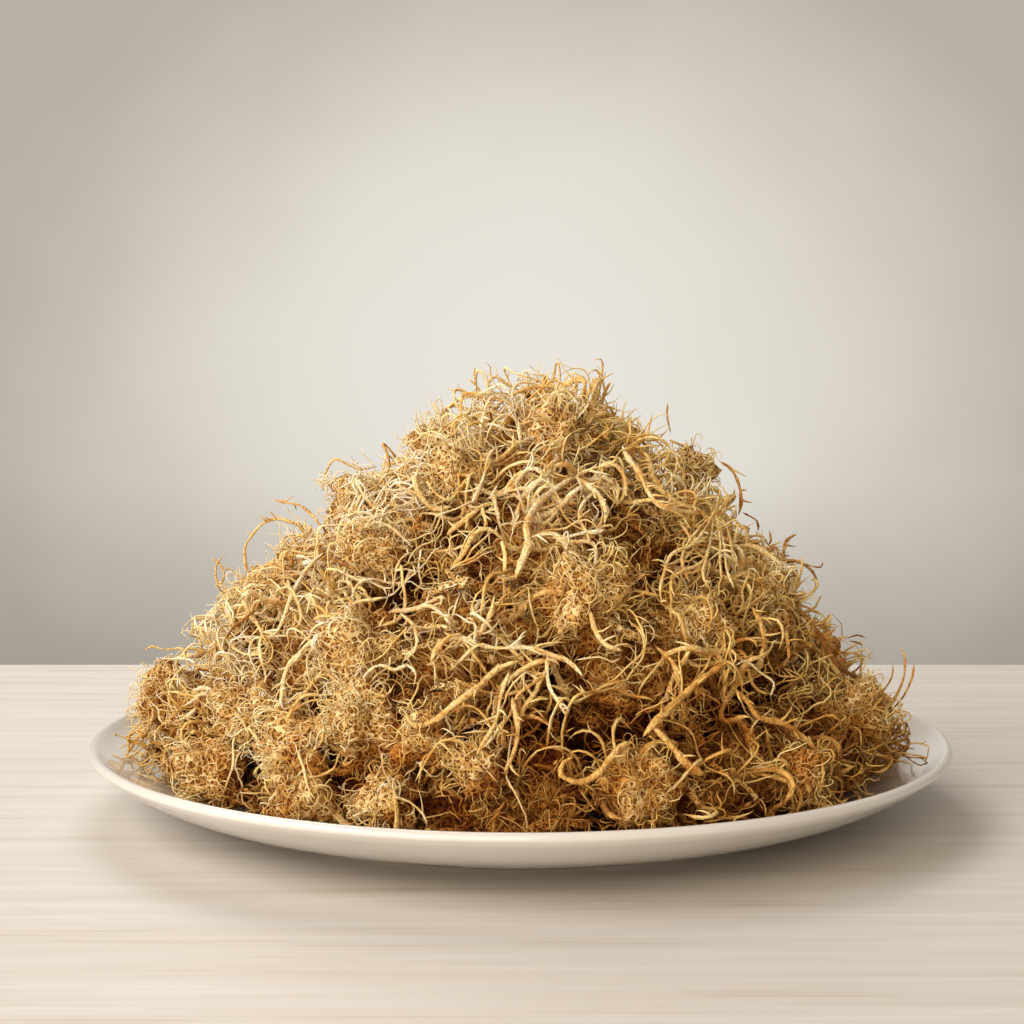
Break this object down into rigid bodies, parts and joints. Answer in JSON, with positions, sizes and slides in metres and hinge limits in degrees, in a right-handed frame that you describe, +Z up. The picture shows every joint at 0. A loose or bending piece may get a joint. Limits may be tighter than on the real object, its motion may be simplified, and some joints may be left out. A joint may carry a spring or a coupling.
{
  "type": "heap of dried sea moss on a plate",
  "caption": "Rounded heap of tangled dried golden seaweed clumps, bristling with branching strands, piled on a shallow round white plate with a foot ring.",
  "frame": {"origin": "centre of the plate's foot ring, on the surface the plate stands on", "axes": "+Z up; -Y towards the viewer of the reference view, +X to its right"},
  "size_m": [0.35, 0.35, 0.1777],
  "materials": {
    "dried_sea_moss": "matte, dry and slightly translucent, golden",
    "white_porcelain": "glossy white glaze"
  },
  "bodies": {
    "root": {"clump_base_1": "dried_sea_moss", "clump_base_2": "dried_sea_moss", "clump_base_3": "dried_sea_moss", "clump_base_4": "dried_sea_moss", "clump_base_5": "dried_sea_moss", "clump_base_6": "dried_sea_moss", "clump_base_7": "dried_sea_moss", "clump_base_8": "dried_sea_moss", "clump_base_9": "dried_sea_moss", "clump_middle_1": "dried_sea_moss", "clump_middle_2": "dried_sea_moss", "clump_middle_3": "dried_sea_moss", "clump_middle_4": "dried_sea_moss", "clump_middle_5": "dried_sea_moss", "clump_middle_6": "dried_sea_moss", "clump_upper_1": "dried_sea_moss", "clump_upper_2": "dried_sea_moss", "clump_upper_3": "dried_sea_moss", "clump_upper_4": "dried_sea_moss", "clump_crown": "dried_sea_moss", "plate": "white_porcelain"}
  },
  "joints": []
}
